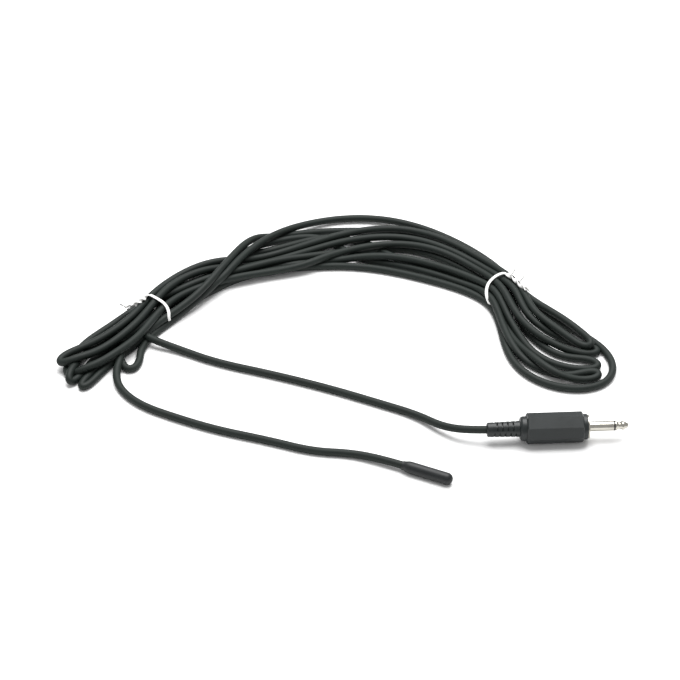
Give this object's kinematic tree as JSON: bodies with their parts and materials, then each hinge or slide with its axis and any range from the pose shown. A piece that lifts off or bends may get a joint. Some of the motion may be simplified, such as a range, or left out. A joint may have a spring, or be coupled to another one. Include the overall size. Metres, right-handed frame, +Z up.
{
  "type": "surface temperature probe",
  "caption": "Sheathed thermistor probe on a long flexible two-core lead, tied in a hank, ending in a moulded mono jack plug.",
  "frame": {"origin": "bottom centre of the sensor sheath, on the surface that the probe lies on", "axes": "+X along the sensor sheath to its nose, +Z up from the surface, +Y by the right-hand rule"},
  "size_m": [0.2002, 0.1429, 0.0176],
  "materials": {
    "cable_jacket": "matte dark grey PVC jacket",
    "tie_plastic": "white plastic-covered twist tie",
    "plug_rubber": "satin dark grey moulding",
    "inner_polymer": "natural inner moulding, hidden",
    "nickel_plate": "bright nickel plate",
    "insulator_black": "black insulator",
    "tinned_brass": "tinned brass, hidden",
    "core_insulation_red": "red core insulation, hidden",
    "core_insulation_black": "black core insulation, hidden",
    "solder": "solder, hidden",
    "sheath_black": "satin dark moulded sheath",
    "potting_resin": "filled resin, hidden",
    "thermistor_epoxy": "black bead, hidden",
    "tinned_copper": "tinned copper, hidden"
  },
  "bodies": {
    "root": {"cable_sensor_tail": "cable_jacket", "cable_plug_tail": "cable_jacket", "cable_small_loop": "cable_jacket", "cable_hank": "cable_jacket", "plug_jacket_end": "cable_jacket", "sensor_jacket_end": "cable_jacket", "left_tie": "tie_plastic", "right_tie": "tie_plastic", "plug_overmould": "plug_rubber", "plug_inner_mould": "inner_polymer", "sleeve_contact": "nickel_plate", "tip_contact": "nickel_plate", "tip_insulator": "insulator_black", "rear_insulator": "insulator_black", "tip_lug": "tinned_brass", "sleeve_lug": "tinned_brass", "plug_core_tip": "core_insulation_red", "plug_core_sleeve": "core_insulation_black", "tip_solder": "solder", "sleeve_solder": "solder", "sensor_sheath": "sheath_black", "sensor_potting": "potting_resin", "thermistor_bead": "thermistor_epoxy", "thermistor_leg_a": "tinned_copper", "thermistor_leg_b": "tinned_copper", "splice_sleeve_a": "tinned_copper", "splice_sleeve_b": "tinned_copper", "splice_solder_a": "solder", "splice_solder_b": "solder", "sensor_core_a": "core_insulation_red", "sensor_core_b": "core_insulation_black"}
  },
  "joints": []
}
